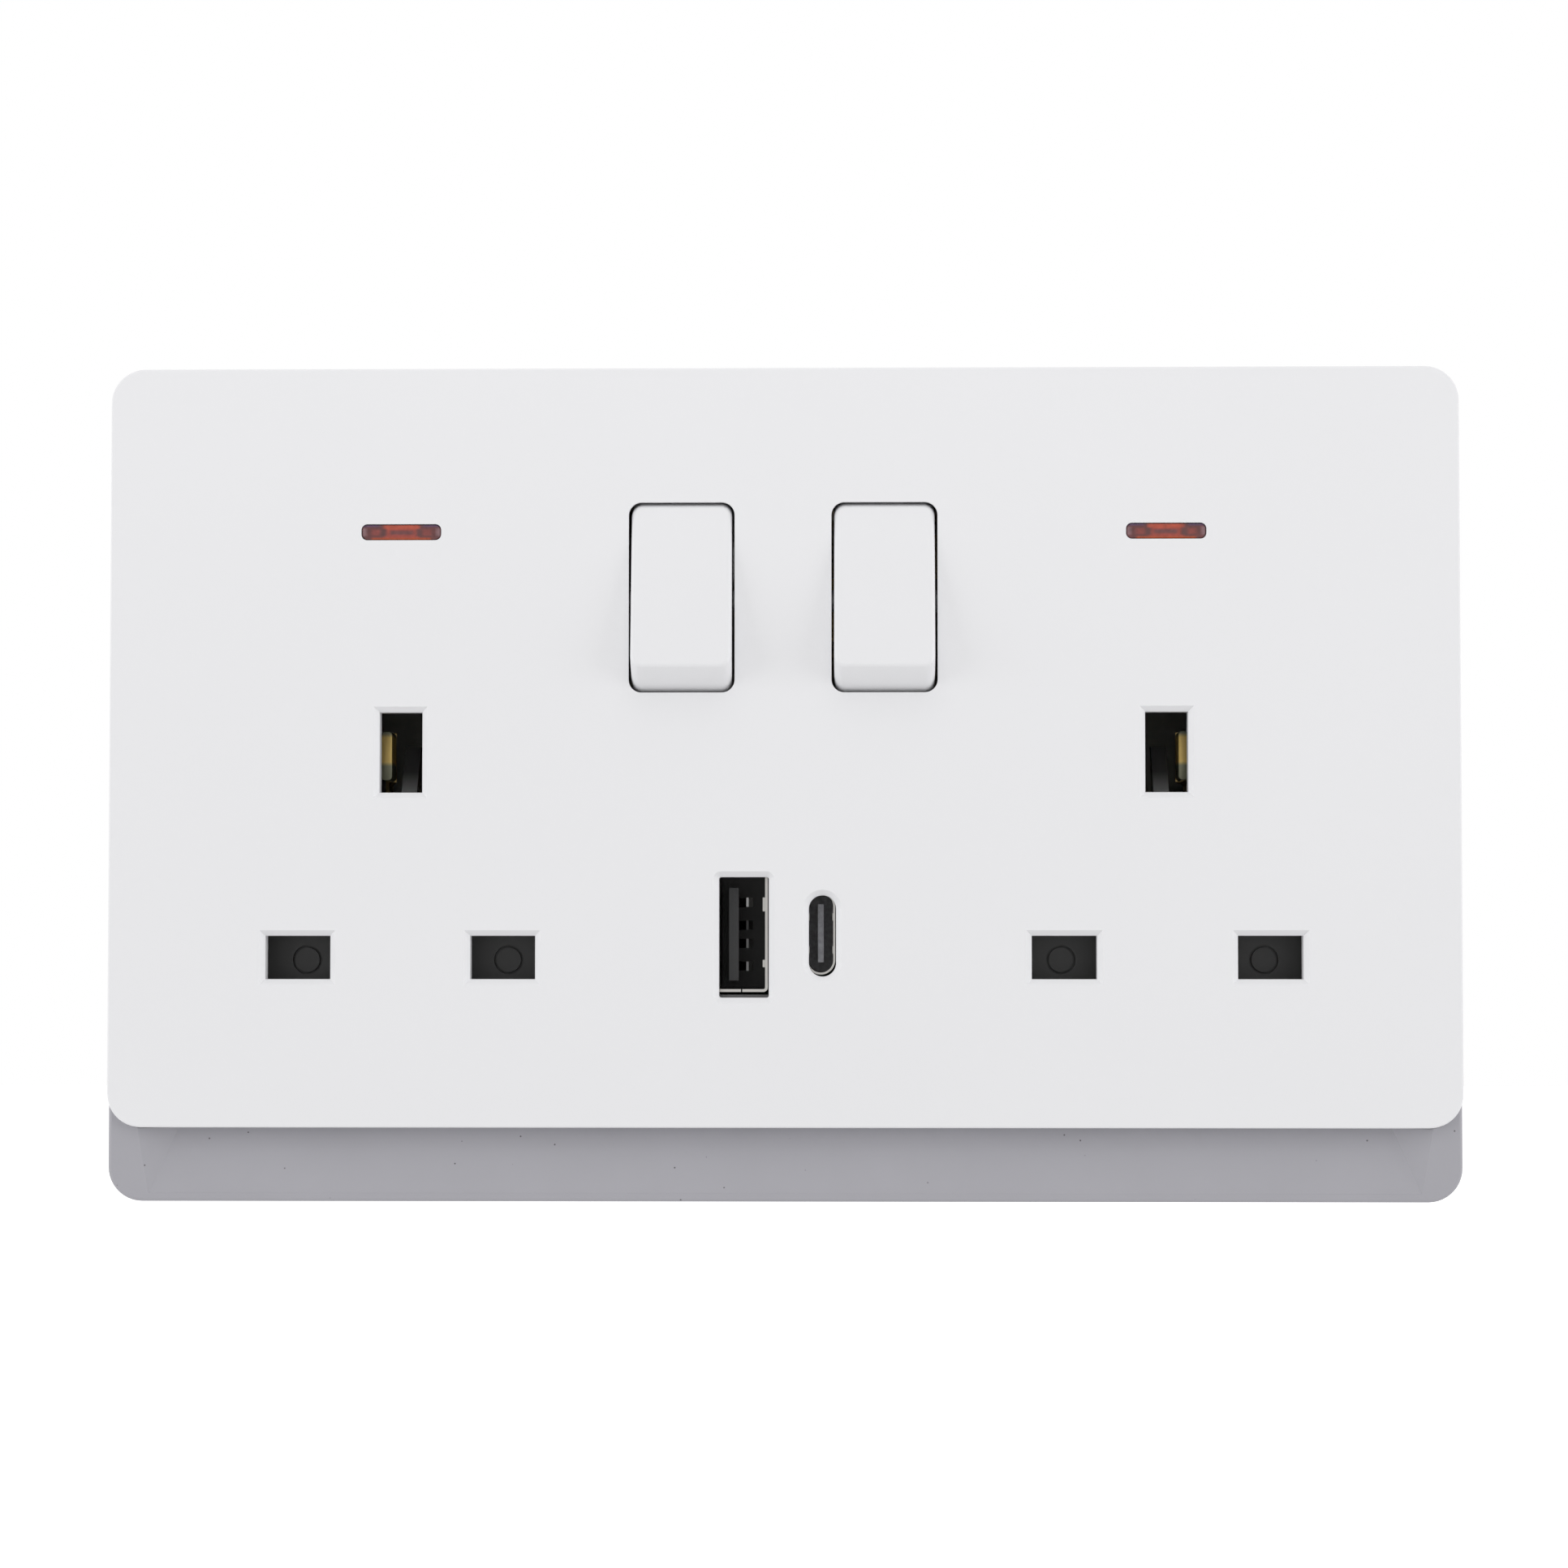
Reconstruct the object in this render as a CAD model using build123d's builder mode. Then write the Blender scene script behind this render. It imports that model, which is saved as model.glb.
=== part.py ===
from build123d import *
import os
from math import asin, cos, degrees, radians, sin, sqrt

# A double switched wall socket with two charging ports, fixed over a wall box.
# +Z is up, the wall is the plane y = 0 and the front faces -Y.
# The origin lies midway between the two wall screws.
# A height is a distance in front of the wall, and a negative height lies inside the wall box.

# Whole outline and the white front plate
outline_width = 146.4
outline_tall = 90.4
outline_corner = 3.7
front_height = 9.5
plate_wall = 2.4
skirt_wall = 1.6
plate_edge = 0.2
mouth_chamfer = 0.6

# Grey mounting frame with its lip below the plate
base_thickness = 4.5
lip_tall = 8.0
lip_sunk = 1.0
lip_gap = 0.1
lip_edge = 0.4
scoop_depth = 1.6
scoop_end_inset = 3.2
scoop_end_run = 4.2
scoop_foot = 0.9
scoop_foot_inset = 1.2
scoop_foot_depth = 0.02
frame_rim = 2.2
frame_back_wall = 2.0
wall_screw_inset = 12.9
wall_screw_radius = 2.0
wall_screw_boss = 5.0

# Snap clips between plate and frame
clip_width = 8.0
clip_wall = 1.2
clip_catch = 0.5
clip_gap = 0.1
clip_headroom = 0.7
clip_x = 35.0
clip_z = 20.0

# Outlets, placed from the ends and the foot of the tub
socket_inset = 31.7
earth_above_foot = 36.9
pin_pitch = 22.23
earth_slot_width = 4.65
earth_slot_tall = 8.73
line_slot_width = 7.05
line_slot_tall = 4.7
deck_slot_relief = 0.9

# Rocker switches
rocker_x = 11.0
rocker_width = 10.9
rocker_side_gap = 0.3
rocker_end_gap = 0.3
rocker_mouth_corner = 1.4
rocker_mouth_land = 0.6
rocker_arc = 11.05
rocker_headroom = 2.25
rocker_proud = 2.8
rocker_sunk = 0.3
rocker_back = 1.2
rocker_corner = 1.2
rocker_edge = 0.5
pivot_depth = 5.2
trunnion_radius = 1.2
trunnion_length = 1.6
running_gap = 0.06
well_gap = 0.4
stem_radius = 2.2
stem_length = 5.0
stem_bore_floor = -2.5
plunger_radius = 1.25
plunger_start = 1.5
plunger_nose_gap = 0.25
bore_gap = 0.1

# Neon strips
neon_below_top = 6.15
neon_width = 8.6
neon_tall = 1.65
neon_corner = 0.6
neon_sunk = 0.1
lens_gap = 0.05
lens_edge = 0.2
lens_flange = 0.8
lens_flange_thick = 1.0
lamp_radius = 2.0
lamp_length = 10.0
lamp_round = 1.4
lamp_drop = 0.15
lamp_gap = 0.08

# Charging ports, with each connector slightly off its mouth as assembled
usb_x = 4.25
usb_above_foot = 17.0
usb_a_mouth = (5.4, 13.05)
usb_a_mouth_drop = 0.15
usb_a_mouth_corner = 0.25
usb_a_shift = (-0.3, 0.5)
usb_a_shell_size = (5.7, 13.15)
usb_a_shell_wall = 0.3
usb_a_shell_corner = 0.5
usb_a_seam = 0.15
usb_a_tab_reach = 0.3
usb_a_tab_deep = 2.5
usb_a_tab_sunk = 1.8
usb_a_tabs = ((-3.5, 0.8), (2.95, 1.5))
usb_a_tongue = (1.05, 10.1)
usb_a_tongue_shift = (-0.9, -0.3)
usb_a_tongue_sunk = 2.0
usb_a_tongue_lip = 0.8
usb_a_tongue_recess = 0.3
usb_a_contact_width = 1.0
usb_a_contact_thick = 0.25
usb_a_contact_setback = 1.0
usb_a_contact_reach = 1.55
usb_a_contact_curl = (0.45, 0.4)
usb_a_contact_bend = 2.2
usb_a_contact_offsets = (-3.5, -1.0, 1.0, 3.5)
usb_c_mouth = (2.95, 8.8)
usb_c_shift = (-0.2, 0.3)
usb_c_shell_lap = 0.1
usb_c_shell_wall = 0.22
usb_c_tab = (0.1, 1.0, 0.8)
usb_c_tab_sunk = 2.5
usb_c_tab_offset = 1.8
usb_c_tongue = (0.64, 6.35)
usb_c_tongue_sunk = 1.3
usb_c_floor_sunk = 6.4
usb_sunk = 0.2
usb_window_gap = 0.3
insulator_gap = 0.05
insulator_base = 3.0

# Socket deck behind the plate and the tub in the wall box
deck_thickness = 4.7
deck_gap = 0.3
plate_to_deck_gap = 0.6
flange_inset = 7.2
flange_end_inset = 10.2
tub_inset = 11.7
tub_corner = 4.0
tub_wall = 1.8
tub_back_wall = 2.0
tub_depth = 25.0
tub_edge = 1.2
tub_gap = 0.4
notch_room = 6.3
notch_tall = 16.0
bay_tall = 20.0
deck_screw_inset = 9.0
deck_screw_z = 24.0
deck_screw_radius = 1.3
deck_screw_head = 2.2
deck_screw_boss = 4.0
housing_screw_inset = (4.5, 3.6)
housing_screw_radius = 1.25
housing_screw_head = 2.3
housing_head_thick = 1.6
pillar_radius = 2.2
pillar_bore_gap = 0.25
screw_gap = 0.03
driver_slot = 0.7
driver_depth = 0.6

# Shutters and their springs
shutter_gap = 0.3
shutter_thick = 3.0
shutter_end = 5.285
shutter_lap = 0.6
shutter_travel = 5.5
shutter_disc_radius = 1.6
shutter_disc_drop = 0.27
shutter_disc_groove = (0.25, 0.6)
shutter_arm_width = 1.7
shutter_ramp_rise = 5.8
shutter_ramp_top = 1.2
shutter_ramp_fall = 1.5
shutter_ramp_wall = 1.2
rail_thick = 1.2
rail_lip = 1.4
rail_reach = 5.75
spring_room = 0.72
spring_ledge_thick = 1.2
spring_ledge_width = 6.0
spring_boss_width = 5.0
spring_boss_deep = 3.5
spring_boss_setback = 1.6
spring_radius = 1.0
spring_wire = 0.4
spring_turns = 6
spring_hole_radius = 1.45
spring_hole_depth = 4.4
plunger_spring_turns = 3
plunger_spring_radius = 0.95

# Brass contacts, bars and terminals
brass_thick = 0.8
earth_throat = 1.9
earth_leaf_base = 3.8
earth_leaf_tall = 5.5
earth_leaf_thick = 0.4
earth_leaf_setback = 1.0
earth_lip = 0.55
earth_lip_bend = 0.3
earth_lip_corner = 0.5
earth_web = (-9.4, -6.4)
earth_web_deep = 3.0
earth_bar_rise = 6.5
earth_bar_tall = 6.0
line_leaf_gap = 2.1
line_leaf_width = 6.0
line_leaf_setback = 0.9
line_bar_rise = 9.5
neutral_bar_drop = 8.37
neutral_bar_tall = 3.8
live_strip_width = 4.0
live_right_strip_shift = 7.1
live_head_rise = 9.0
live_head_tall = 5.0
post_radius = 1.5
post_gap = 0.3
live_bar_drop = 2.8
live_bar_margin = 4.0
live_bar_tall = 7.0
terminal_size = 7.0
terminal_room = 1.5
terminal_wire_radius = 1.7
terminal_wire_rise = 3.9
terminal_screw_radius = 1.7
terminal_screw_bite = 2.1
terminal_head_radius = 2.3
terminal_head_thick = 1.3
terminal_access_gap = 0.5
neutral_terminal_inset = 20.5
earth_terminal_x = 14.0
wire_window = (6.0, 5.0)
wire_window_rise = 6.6

# Rocking contact of each switch
rocking_drop = 8.5
rocking_half_length = 7.3
rocking_width = 4.5
rocking_tilt = 7.0
rocking_pin_radius = 0.6
rocking_pin_length = 7.0
rocking_button_tall = 1.3
rocking_button_thick = 0.5
rocking_button_inset = 0.8
ear_inset = 0.35
ear_tall = 4.0
ear_front = 1.3

# Charger electronics
board_size = (38.0, 30.0)
board_above_foot = 24.0
board_drop = 9.0
board_thick = 1.6
board_post_radius = 2.0
board_post_inset = 2.0
transformer_core = (15.0, 13.0)
transformer_shift = (-2.0, -1.5)
transformer_room = 3.2
transformer_window = 8.0
bobbin_proud = 1.2
capacitor_radius = 4.0
capacitor_room = 2.2
capacitor_inset = 6.5
capacitor_gap = 1.0

# Values that follow from the sizes above
plate_tall = outline_tall - lip_tall
plate_z = lip_tall / 2
plate_bottom = plate_z - plate_tall / 2
plate_inner = front_height - plate_wall
lip_height = front_height - lip_sunk
lip_top = plate_bottom - lip_gap
wall_screw_spacing = outline_width - 2 * wall_screw_inset
scoop_half_length = outline_width / 2 - scoop_end_inset
clip_catch_thick = (plate_inner - base_thickness - clip_gap - clip_headroom) / 3
clip_post_out = skirt_wall + clip_catch + clip_gap
clip_bay_top = plate_bottom + clip_post_out + clip_wall + deck_gap
tub_width = outline_width - 2 * tub_inset
tub_tall = outline_tall - 2 * tub_inset
tub_top = tub_tall / 2
tub_foot = -tub_tall / 2
tub_inner_back = tub_back_wall - tub_depth
notch_x = wall_screw_spacing / 2 - notch_room
flange_width = outline_width - 2 * flange_inset
flange_tall = outline_tall - 2 * flange_end_inset
flange_front = plate_inner - plate_to_deck_gap
deck_back = flange_front - deck_thickness
deck_screw_x = outline_width / 2 - deck_screw_inset
housing_screw_x = tub_width / 2 - housing_screw_inset[0]
housing_screw_z = tub_top - housing_screw_inset[1]
socket_x = outline_width / 2 - socket_inset
earth_z = tub_foot + earth_above_foot
pin_z = earth_z - pin_pitch
rocker_z = tub_top - rocker_arc - rocker_headroom
neon_z = tub_top - neon_below_top
usb_z = tub_foot + usb_above_foot
pivot_height = front_height - pivot_depth
rocker_mouth_width = rocker_width + 2 * rocker_side_gap
rocker_mouth_tall = 2 * (sqrt(rocker_arc**2 - (pivot_depth - rocker_mouth_land) ** 2) + rocker_end_gap)
rocker_out_angle = degrees(asin((pivot_depth + rocker_proud) / rocker_arc))
rocker_in_angle = degrees(asin((pivot_depth - rocker_sunk) / rocker_arc))
rocker_swing = rocker_out_angle - rocker_in_angle
rocker_tilt = rocker_swing / 2
rocker_face = rocker_arc * sin(radians(rocker_out_angle - rocker_tilt))
well_width = rocker_width + 2 * well_gap
well_tall = 2 * (rocker_arc + well_gap)
rocking_height = pivot_height - rocking_drop
plunger_reach = rocking_drop - rocking_pin_radius - plunger_nose_gap
lamp_height = plate_inner - lens_gap - lens_flange_thick - lamp_drop - lamp_radius
shutter_front = deck_back - shutter_gap
shutter_back = shutter_front - shutter_thick
shutter_half_length = pin_pitch / 2 + shutter_end
shutter_half_tall = line_slot_tall / 2 + shutter_lap
shutter_ramp_high = earth_z + shutter_ramp_top
shutter_ramp_low = shutter_ramp_high - shutter_ramp_rise
shutter_ramp_deep = shutter_back - shutter_ramp_fall
spring_seat_z = pin_z - shutter_half_tall - shutter_travel - spring_room
spring_axis_height = shutter_back - spring_boss_setback
spring_top_z = pin_z - shutter_half_tall + spring_hole_depth
terminal_back = tub_inner_back + terminal_room
terminal_wire_height = terminal_back + terminal_wire_rise
terminal_screw_tip = terminal_back + terminal_screw_bite
earth_leaf_front = shutter_back - earth_leaf_setback
earth_throat_height = earth_leaf_front - earth_lip
earth_bar_height = terminal_back + earth_bar_rise
line_leaf_front = shutter_back - line_leaf_setback
line_bar_height = terminal_back + line_bar_rise
neutral_z = (pin_z - neutral_bar_drop, pin_z - neutral_bar_drop + neutral_bar_tall)
neutral_terminal_x = neutral_terminal_inset - socket_x
live_strip_top = rocker_z + live_head_rise
live_bar_height = rocking_height - live_bar_drop
live_bar_width = 2 * (rocker_x + live_bar_margin)
rocking_button_reach = rocking_half_length - rocking_button_inset
rocking_swing_back = rocking_button_reach * sin(radians(rocking_tilt))
post_z = rocker_z + rocking_button_reach
post_front = rocking_height - brass_thick / 2 - rocking_swing_back - rocking_button_thick - post_gap
board_z = tub_foot + board_above_foot
board_front = deck_back - board_drop
board_back = board_front - board_thick
transformer_place = (transformer_shift[0], board_z + transformer_shift[1])
transformer_tall = board_back - tub_inner_back - transformer_room
capacitor_x = board_size[0] / 2 - capacitor_inset
capacitor_tall = board_back - tub_inner_back - capacitor_room
usb_front = plate_inner - usb_sunk
usb_c_shell_size = (usb_c_mouth[0] + 2 * usb_c_shell_lap, usb_c_mouth[1] + 2 * usb_c_shell_lap)
usb_a_centre = (-usb_x + usb_a_shift[0], usb_z + usb_a_shift[1])
usb_c_centre = (usb_x + usb_c_shift[0], usb_z + usb_c_shift[1])
usb_a_tongue_front = usb_front - usb_a_tongue_sunk
usb_c_tongue_front = usb_front - usb_c_tongue_sunk
sides = ((-1, "left"), (1, "right"))

os.makedirs("parts", exist_ok=True)


def front(height):
    """The plane that faces the room at a height, with local axes along +X and +Z."""
    return Plane.XZ.offset(height)


def tub_outline(margin, mode=Mode.ADD):
    """The tub's outline grown by a margin, notched at both sides for the wall box's screw lugs."""
    half = tub_width / 2
    with BuildSketch(mode=Mode.PRIVATE) as shape:
        RectangleRounded(tub_width + 2 * margin, tub_tall + 2 * margin, tub_corner + margin)
        with Locations((-half, 0), (half, 0)):
            Rectangle(2 * (half - notch_x - margin), notch_tall - 2 * margin, mode=Mode.SUBTRACT)
    add(shape.sketch, mode=mode)


def pin_slots(relief):
    """The six pin slots of both outlets, each grown by a relief on every side."""
    for side, _ in sides:
        with Locations((side * socket_x, earth_z)):
            Rectangle(earth_slot_width + 2 * relief, earth_slot_tall + 2 * relief)
        with Locations((side * socket_x, pin_z)):
            with GridLocations(pin_pitch, 0, 2, 1):
                Rectangle(line_slot_width + 2 * relief, line_slot_tall + 2 * relief)


def block(x, height, z):
    """A box between low and high values in x, height and z."""
    (x0, x1), (h0, h1), (z0, z1) = x, height, z
    with Locations(((x0 + x1) / 2, -(h0 + h1) / 2, (z0 + z1) / 2)):
        Box(x1 - x0, h1 - h0, z1 - z0)


def around(centre, half):
    """Low and high values about a centre."""
    return (centre - half, centre + half)


def rocker_plane(side):
    """The side-view plane at a rocker's pivot in the off position: local x runs back, local y up."""
    tilt = radians(rocker_tilt)
    return Plane(
        (side * rocker_x, -pivot_height, rocker_z),
        x_dir=(0, cos(tilt), -sin(tilt)),
        z_dir=(1, 0, 0),
    )


def stem_plane(side):
    """The plane at a rocker's pivot that its stem and plunger stand on."""
    tilt = radians(rocker_tilt)
    return Plane(
        (side * rocker_x, -pivot_height, rocker_z),
        x_dir=(1, 0, 0),
        z_dir=(0, cos(tilt), -sin(tilt)),
    )


# Front plate: a moulded cover with chamfered pin slots and port mouths, and catches inside its skirt
with BuildPart() as front_plate:
    with BuildSketch(front(base_thickness)):
        with Locations((0, plate_z)):
            RectangleRounded(outline_width, plate_tall, outline_corner)
    extrude(amount=front_height - base_thickness)
    fillet(front_plate.faces().sort_by(Axis.Y)[0].edges(), plate_edge)
    with BuildSketch(front(base_thickness)):
        with Locations((0, plate_z)):
            RectangleRounded(
                outline_width - 2 * skirt_wall,
                plate_tall - 2 * skirt_wall,
                outline_corner - skirt_wall,
            )
    extrude(amount=plate_inner - base_thickness, mode=Mode.SUBTRACT)
    with BuildSketch(front(front_height)):
        pin_slots(0)
        with Locations((-usb_x, usb_z - usb_a_mouth_drop)):
            RectangleRounded(*usb_a_mouth, usb_a_mouth_corner)
        with Locations((usb_x, usb_z)):
            SlotOverall(usb_c_mouth[1], usb_c_mouth[0], rotation=90)
    extrude(amount=-plate_wall, mode=Mode.SUBTRACT)
    mouths = front_plate.faces().sort_by(Axis.Y)[0].inner_wires()
    chamfer(mouths.edges(), mouth_chamfer)
    relief = plate_wall - rocker_mouth_land
    with BuildSketch(front(plate_inner)):
        with Locations((0, rocker_z)):
            with GridLocations(2 * rocker_x, 0, 2, 1):
                Rectangle(rocker_mouth_width + 2 * relief, rocker_mouth_tall + 2 * relief)
    extrude(amount=relief, taper=45, mode=Mode.SUBTRACT)
    with BuildSketch(front(front_height)):
        with Locations((0, rocker_z)):
            with GridLocations(2 * rocker_x, 0, 2, 1):
                RectangleRounded(rocker_mouth_width, rocker_mouth_tall, rocker_mouth_corner)
        with Locations((0, neon_z)):
            with GridLocations(2 * socket_x, 0, 2, 1):
                RectangleRounded(
                    neon_width + 2 * lens_gap,
                    neon_tall + 2 * lens_gap,
                    neon_corner + lens_gap,
                )
    extrude(amount=-plate_wall, mode=Mode.SUBTRACT)
    catch_low = base_thickness + clip_catch_thick
    catch = (catch_low, catch_low + clip_catch_thick)
    for x in (-clip_x, clip_x):
        for edge, inward in ((plate_z + plate_tall / 2, -1), (plate_bottom, 1)):
            inner = edge + inward * (skirt_wall + clip_catch)
            block(around(x, clip_width / 2), catch, sorted((edge + inward * skirt_wall / 2, inner)))
    for side, _ in sides:
        edge = side * (outline_width / 2 - skirt_wall / 2)
        inner = side * (outline_width / 2 - skirt_wall - clip_catch)
        for z in (plate_z - clip_z, plate_z + clip_z):
            block(sorted((edge, inner)), catch, around(z, clip_width / 2))
front_plate.part.label = "front_plate"
export_step(front_plate.part, "parts/front_plate.step")

# Finger scoop: a wedge that deepens towards the plate, with sloping ends that lean in to its foot
scoop_sections = (
    (lip_top, scoop_half_length, scoop_end_run, scoop_depth),
    (
        scoop_foot - outline_tall / 2,
        scoop_half_length - scoop_foot_inset,
        scoop_foot_depth,
        scoop_foot_depth,
    ),
)
with BuildPart() as scoop:
    for z, half, run, depth in scoop_sections:
        with BuildSketch(Plane.XY.offset(z)):
            with BuildLine():
                Polyline(
                    (-half, -lip_height),
                    (run - half, depth - lip_height),
                    (half - run, depth - lip_height),
                    (half, -lip_height),
                    close=True,
                )
            make_face()
    loft(ruled=True)

# Mounting frame: a ring on the wall with the lip, the wall screw holes and the catches that hold the plate
with BuildPart() as mounting_frame:
    with BuildSketch(front(0)):
        RectangleRounded(outline_width, outline_tall, outline_corner)
    extrude(amount=lip_height)
    fillet(mounting_frame.faces().sort_by(Axis.Y)[0].edges(), lip_edge)
    with BuildSketch(front(base_thickness)):
        with Locations((0, plate_z)):
            RectangleRounded(
                outline_width + 2 * lip_gap,
                plate_tall + 2 * lip_gap,
                outline_corner + lip_gap,
            )
    extrude(amount=lip_height - base_thickness, mode=Mode.SUBTRACT)
    add(scoop.part, mode=Mode.SUBTRACT)
    with BuildSketch(front(0)):
        tub_outline(tub_gap)
        with GridLocations(wall_screw_spacing, 0, 2, 1):
            Circle(wall_screw_radius)
        with GridLocations(2 * deck_screw_x, 2 * deck_screw_z, 2, 2):
            Circle(deck_screw_radius + screw_gap)
    extrude(amount=base_thickness, mode=Mode.SUBTRACT)
    with BuildSketch(front(0)):
        RectangleRounded(
            outline_width - 2 * frame_rim,
            outline_tall - 2 * frame_rim,
            outline_corner - frame_rim,
        )
        tub_outline(tub_gap + frame_rim, mode=Mode.SUBTRACT)
        with GridLocations(wall_screw_spacing, 0, 2, 1):
            Circle(wall_screw_boss, mode=Mode.SUBTRACT)
        with GridLocations(2 * deck_screw_x, 2 * deck_screw_z, 2, 2):
            Circle(deck_screw_boss, mode=Mode.SUBTRACT)
    extrude(amount=base_thickness - frame_back_wall, mode=Mode.SUBTRACT)
    catch_high = catch[1] + clip_gap
    post = (base_thickness, catch_high + clip_catch_thick)
    ledge = (catch_high, catch_high + clip_catch_thick)
    for x in (-clip_x, clip_x):
        for edge, inward in ((plate_z + plate_tall / 2, -1), (plate_bottom, 1)):
            near = edge + inward * clip_post_out
            far = near + inward * clip_wall
            tip = edge + inward * (skirt_wall + clip_gap)
            block(around(x, clip_width / 2), post, sorted((near, far)))
            block(around(x, clip_width / 2), ledge, sorted((tip, far)))
    for side, _ in sides:
        near = side * (outline_width / 2 - clip_post_out)
        far = near - side * clip_wall
        tip = side * (outline_width / 2 - skirt_wall - clip_gap)
        for z in (plate_z - clip_z, plate_z + clip_z):
            block(sorted((near, far)), post, around(z, clip_width / 2))
            block(sorted((tip, far)), ledge, around(z, clip_width / 2))
mounting_frame.part.label = "mounting_frame"
export_step(mounting_frame.part, "parts/mounting_frame.step")

# Socket deck: the moulding between plate and tub that carries the working parts
with BuildPart() as socket_deck:
    with BuildSketch(front(base_thickness)):
        RectangleRounded(flange_width, flange_tall, tub_corner)
        with Locations((-flange_width / 2, 0), (flange_width / 2, 0)):
            Rectangle(flange_width - 2 * notch_x, bay_tall, mode=Mode.SUBTRACT)
        with Locations((-clip_x, clip_bay_top), (clip_x, clip_bay_top)):
            Rectangle(
                clip_width + 2 * deck_gap,
                flange_tall,
                align=(Align.CENTER, Align.MAX),
                mode=Mode.SUBTRACT,
            )
    extrude(amount=flange_front - base_thickness)
    with BuildSketch(front(deck_back)):
        tub_outline(-tub_wall - deck_gap)
    extrude(amount=base_thickness - deck_back)
    with BuildSketch(front(flange_front)):
        pin_slots(deck_slot_relief)
        with Locations((0, rocker_z)):
            with GridLocations(2 * rocker_x, 0, 2, 1):
                Rectangle(well_width, well_tall)
        with Locations(usb_a_centre):
            Rectangle(usb_a_shell_size[0] + 2 * usb_window_gap, usb_a_shell_size[1] + 2 * usb_window_gap)
        with Locations(usb_c_centre):
            Rectangle(usb_c_shell_size[0] + 2 * usb_window_gap, usb_c_shell_size[1] + 2 * usb_window_gap)
    extrude(amount=-deck_thickness, mode=Mode.SUBTRACT)
    with BuildSketch(front(flange_front)):
        with Locations((0, neon_z)):
            with GridLocations(2 * socket_x, 0, 2, 1):
                Rectangle(
                    neon_width + 2 * (lens_flange + lens_gap),
                    neon_tall + 2 * (lens_flange + lens_gap),
                )
    extrude(amount=lamp_height - flange_front, mode=Mode.SUBTRACT)
    with Locations((0, -lamp_height, neon_z)):
        with GridLocations(2 * socket_x, 0, 2, 1):
            Cylinder(
                lamp_radius + lamp_gap,
                lamp_length + 2 * lamp_gap,
                rotation=(0, 90, 0),
                mode=Mode.SUBTRACT,
            )
    with Locations((0, -pivot_height, rocker_z)):
        with GridLocations(2 * rocker_x, 0, 2, 1):
            Cylinder(
                trunnion_radius + running_gap,
                rocker_width + 2 * (trunnion_length + well_gap),
                rotation=(0, 90, 0),
                mode=Mode.SUBTRACT,
            )
    with BuildSketch(front(flange_front)):
        with GridLocations(2 * deck_screw_x, 2 * deck_screw_z, 2, 2):
            Circle(deck_screw_radius + screw_gap)
    extrude(amount=base_thickness - flange_front, mode=Mode.SUBTRACT)
    with BuildSketch(front(flange_front)):
        with GridLocations(2 * deck_screw_x, 2 * deck_screw_z, 2, 2):
            Circle(deck_screw_head + screw_gap)
    extrude(amount=deck_screw_radius - deck_screw_head, taper=45, mode=Mode.SUBTRACT)
    with BuildSketch(front(deck_back)):
        with GridLocations(2 * housing_screw_x, 2 * housing_screw_z, 2, 2):
            Circle(housing_screw_radius + screw_gap)
    extrude(amount=base_thickness - deck_back, mode=Mode.SUBTRACT)
    rail_back = shutter_back - shutter_gap - rail_thick
    rail_inner = shutter_half_length + shutter_gap
    for side, _ in sides:
        for end in (-1, 1):
            outer = side * socket_x + end * (rail_inner + rail_thick)
            inner = side * socket_x + end * rail_inner
            lip = inner - end * rail_lip
            block(sorted((outer, inner)), (rail_back, deck_back), around(pin_z, rail_reach))
            block(sorted((outer, lip)), (rail_back, rail_back + rail_thick), around(pin_z, rail_reach))
        ledge_back = shutter_back - spring_boss_deep
        ledge_z = (spring_seat_z - spring_ledge_thick, spring_seat_z)
        block(around(side * socket_x, spring_ledge_width / 2), (ledge_back, deck_back), ledge_z)
    with BuildSketch(front(board_front)):
        with Locations((0, board_z)):
            post_spacing = [size - 2 * board_post_inset for size in board_size]
            with GridLocations(*post_spacing, 2, 2):
                Circle(board_post_radius)
    extrude(amount=deck_back - board_front)
socket_deck.part.label = "socket_deck"
export_step(socket_deck.part, "parts/socket_deck.step")

# Rear housing: a tub in the wall box, with screw pillars, terminal access holes and wire windows
terminals = (
    (neutral_terminal_x, sum(neutral_z) / 2),
    (0, rocker_z),
    (-earth_terminal_x, earth_z),
    (earth_terminal_x, earth_z),
)
with BuildPart() as rear_housing:
    with BuildSketch(front(-tub_depth)):
        tub_outline(0)
    extrude(amount=tub_depth + base_thickness)
    fillet(rear_housing.faces().sort_by(Axis.Y)[-1].edges(), tub_edge)
    with BuildSketch(front(tub_inner_back)):
        tub_outline(-tub_wall)
    extrude(amount=base_thickness - tub_inner_back, mode=Mode.SUBTRACT)
    with BuildSketch(front(tub_inner_back)):
        with GridLocations(2 * housing_screw_x, 2 * housing_screw_z, 2, 2):
            Circle(pillar_radius)
    extrude(amount=deck_back - tub_inner_back)
    with BuildSketch(front(-tub_depth)):
        with GridLocations(2 * housing_screw_x, 2 * housing_screw_z, 2, 2):
            Circle(housing_screw_radius + pillar_bore_gap)
    extrude(amount=tub_depth + deck_back, mode=Mode.SUBTRACT)
    with BuildSketch(front(-tub_depth)):
        with GridLocations(2 * housing_screw_x, 2 * housing_screw_z, 2, 2):
            Circle(housing_screw_head + screw_gap)
    extrude(amount=housing_head_thick, mode=Mode.SUBTRACT)
    with BuildSketch(front(-tub_depth)):
        for place in terminals:
            with Locations(place):
                Circle(terminal_head_radius + terminal_access_gap)
            with Locations((place[0], place[1] + wire_window_rise)):
                Rectangle(*wire_window)
    extrude(amount=tub_back_wall, mode=Mode.SUBTRACT)
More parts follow.
